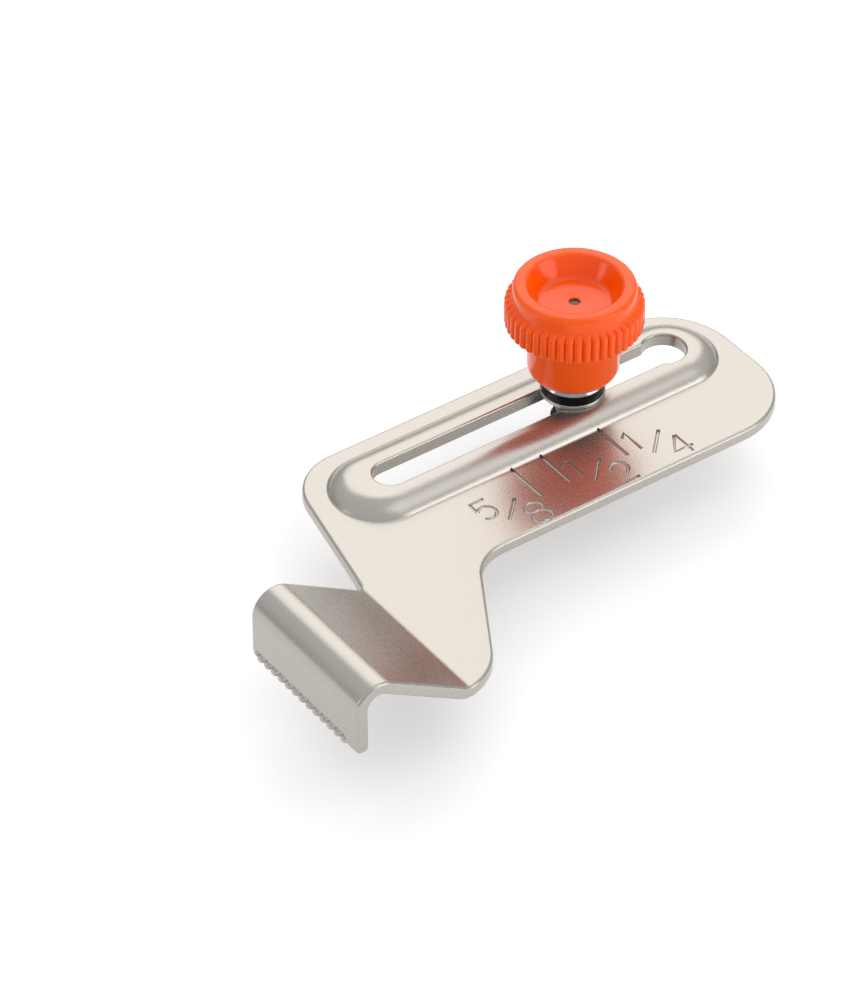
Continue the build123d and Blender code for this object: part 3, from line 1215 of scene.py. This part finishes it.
class MakeStage(bpy.types.Operator):
    """Sets the pale floor, the studio light and the camera"""

    bl_idname = "gauge.make_stage"
    bl_label = "Make stage"

    def execute(self, context):
        scene = context.scene
        stage = scene.gauge_stage
        bpy.ops.object.select_all(action="DESELECT")
        bpy.ops.mesh.primitive_plane_add(
            size=stage.floor_size, location=(0, 0, stud_low.z * MM - stage.floor_gap)
        )
        floor = context.object
        floor.name = floor.data.name = "floor"
        material, _, shader = new_material("Pale floor", 0, 0.9)
        shader.inputs["Base Color"].default_value = scene.gauge_colours.floor
        shader.inputs["Emission Color"].default_value = scene.gauge_colours.floor
        shader.inputs["Emission Strength"].default_value = stage.floor_glow
        floor.data.materials.append(material)

        world = scene.world or bpy.data.worlds.new("Studio")
        scene.world = world
        world.use_nodes = True
        tree = world.node_tree
        background = tree.nodes["Background"]
        background.inputs["Strength"].default_value = stage.sky
        height = add_node(tree, "ShaderNodeSeparateXYZ")
        aim = add_node(tree, "ShaderNodeTexCoord").outputs["Generated"]
        tree.links.new(aim, height.inputs["Vector"])
        fade = add_node(tree, "ShaderNodeMapRange")
        fade.inputs["From Max"].default_value = stage.sky_height
        tree.links.new(height.outputs["Z"], fade.inputs["Value"])
        sky = add_node(tree, "ShaderNodeMix", data_type="RGBA")
        sky.inputs["A"].default_value = HORIZON_COLOUR
        sky.inputs["B"].default_value = SKY_COLOUR
        tree.links.new(fade.outputs["Result"], sky.inputs["Factor"])
        tree.links.new(sky.outputs["Result"], background.inputs["Color"])

        for settings in SOFT_BOXES:
            soft_box(*settings)

        back = Vector((
            sin(stage.camera_turn) * cos(stage.camera_rise),
            -cos(stage.camera_turn) * cos(stage.camera_rise),
            sin(stage.camera_rise),
        ))
        bpy.ops.object.camera_add(location=stage.camera_place)
        camera = context.object
        camera.name = camera.data.name = "camera"
        camera.rotation_mode = "QUATERNION"
        camera.rotation_quaternion = (-back).to_track_quat("-Z", "Y")
        camera.data.lens = stage.camera_lens
        camera.data.sensor_width = stage.sensor
        camera.data.clip_start, camera.data.clip_end = 0.01, 20
        scene.camera = camera
        scene.view_settings.view_transform = "Standard"
        return {"FINISHED"}


# ---------------------------------------------------------------- add-on


class GaugePanel(bpy.types.Panel):
    """Lists the gauge's operators and sizes in the sidebar"""

    bl_idname = "VIEW3D_PT_marking_gauge"
    bl_label = "Marking Gauge"
    bl_space_type = "VIEW_3D"
    bl_region_type = "UI"
    bl_category = "Marking Gauge"

    def draw(self, context):
        column = self.layout.column()
        for operator in PIECE_OPERATORS:
            column.operator(operator.bl_idname)
        for group_name in SETTINGS:
            group = getattr(context.scene, group_name)
            box = self.layout.box()
            box.label(text=group.bl_rna.name)
            for prop in group.bl_rna.properties:
                if prop.identifier not in ("rna_type", "name"):
                    box.prop(group, prop.identifier)


SETTINGS = {
    "gauge_plate": PlateSizes,
    "gauge_teeth": ToothSizes,
    "gauge_boss": BossSizes,
    "gauge_scale": ScaleSizes,
    "gauge_knob": KnobSizes,
    "gauge_stud": StudSizes,
    "gauge_rings": RingSizes,
    "gauge_colours": FinishColours,
    "gauge_stage": StageSettings,
}
PIECE_OPERATORS = (MakePlate, MakeKnob, MakeStud, MakeCollar, MakeWasher, MakeStage)


def register():
    """Registers the settings, the operators and the panel."""
    for name, group in SETTINGS.items():
        bpy.utils.register_class(group)
        setattr(bpy.types.Scene, name, bpy.props.PointerProperty(type=group))
    for operator in PIECE_OPERATORS:
        bpy.utils.register_class(operator)
    bpy.utils.register_class(GaugePanel)


def unregister():
    """Takes back what register did."""
    bpy.utils.unregister_class(GaugePanel)
    for operator in reversed(PIECE_OPERATORS):
        bpy.utils.unregister_class(operator)
    for name, group in reversed(SETTINGS.items()):
        delattr(bpy.types.Scene, name)
        bpy.utils.unregister_class(group)


def main():
    """Makes every piece and the stage."""
    register()
    bpy.ops.gauge.make_plate()
    bpy.ops.gauge.make_knob()
    bpy.ops.gauge.make_stud()
    bpy.ops.gauge.make_collar()
    bpy.ops.gauge.make_washer()
    bpy.ops.gauge.make_stage()


if __name__ == "__main__":
    main()
